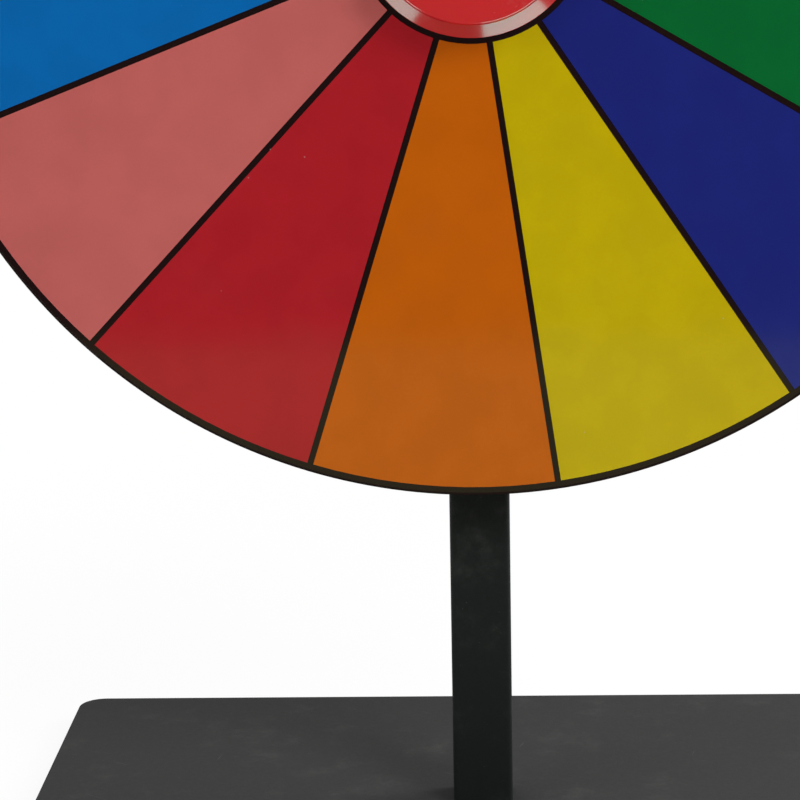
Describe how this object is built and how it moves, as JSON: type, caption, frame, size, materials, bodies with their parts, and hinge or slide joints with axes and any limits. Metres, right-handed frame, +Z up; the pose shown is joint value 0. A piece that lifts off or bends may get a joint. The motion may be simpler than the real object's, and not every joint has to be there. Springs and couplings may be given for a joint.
{
  "type": "tabletop prize wheel",
  "caption": "Tabletop carnival wheel: a striped disc spinning on ball bearings before a square post on a flat base, with pegs and a swinging clicker behind and a pointer over the rim.",
  "frame": {"origin": "on the surface that the rubber feet stand on, under the middle of the base plate and the post", "axes": "+Z up along the post, -Y towards the player in front of the coloured face, +X to the player's right"},
  "size_m": [0.4569, 0.28, 0.6347],
  "materials": {
    "base_paint": "fine matt powder coat",
    "black_paint": "satin black powder coat",
    "black_rubber": "matt",
    "zinc_steel": "bright zinc plate",
    "bearing_steel": "ground",
    "cage_brass": "pressed",
    "nylon": "natural nylon",
    "fibreboard": "black painted back",
    "black_vinyl": "gloss film",
    "blue_vinyl": "gloss film",
    "pink_vinyl": "gloss film",
    "red_vinyl": "gloss film",
    "orange_vinyl": "gloss film",
    "yellow_vinyl": "gloss film",
    "navy_vinyl": "gloss film",
    "green_vinyl": "gloss film",
    "black_plastic": "moulded",
    "red_plastic": "gloss moulding"
  },
  "bodies": {
    "stand": {"base_plate": "base_paint", "rubber_feet": "black_rubber", "foot_screws": "zinc_steel", "post": "black_paint", "post_foot_block": "zinc_steel", "post_top_block": "zinc_steel", "pointer_arm": "black_paint", "pointer_arm_screws": "zinc_steel", "pointer": "red_plastic", "pointer_screws": "zinc_steel", "pointer_nuts": "zinc_steel", "axle_bolt": "zinc_steel", "axle_sleeve": "zinc_steel", "axle_washers": "zinc_steel", "axle_jam_nut": "zinc_steel", "axle_shim": "bearing_steel", "bearing_spacer": "bearing_steel", "axle_end_washer": "bearing_steel", "axle_lock_nut": "zinc_steel", "lock_nut_ring": "nylon", "rear_bearing_inner_race": "bearing_steel", "front_bearing_inner_race": "bearing_steel", "clicker_pivot_screw": "zinc_steel", "clicker_washer": "nylon"},
    "wheel": {"wheel_board": "fibreboard", "edge_band": "black_plastic", "backing_film": "black_vinyl", "blue_segments": "blue_vinyl", "pink_segments": "pink_vinyl", "red_segments": "red_vinyl", "orange_segments": "orange_vinyl", "yellow_segments": "yellow_vinyl", "navy_segments": "navy_vinyl", "green_segments": "green_vinyl", "pegs": "bearing_steel", "hub_barrel": "black_plastic", "hub_flange": "red_plastic", "hub_cap": "red_plastic", "hub_bolts": "zinc_steel", "hub_washers": "zinc_steel", "hub_nuts": "zinc_steel", "rear_bearing_outer_race": "bearing_steel", "front_bearing_outer_race": "bearing_steel", "bearing_shields": "bearing_steel", "rear_bearing_cage": "cage_brass", "rear_bearing_balls": "bearing_steel", "front_bearing_cage": "cage_brass", "front_bearing_balls": "bearing_steel"},
    "clicker": {"clicker_flapper": "nylon"}
  },
  "joints": [
    {"name": "wheel_spin", "type": "hinge", "parent": "stand", "child": "wheel", "pos_m": [0, 0, 0.379], "axis": [0, -1, 0], "continuous": true},
    {"name": "clicker_swing", "type": "hinge", "parent": "stand", "child": "clicker", "pos_m": [-0.0064, 0, 0.6155], "axis": [0, -1, 0], "range_deg": [-60, 60]}
  ]
}
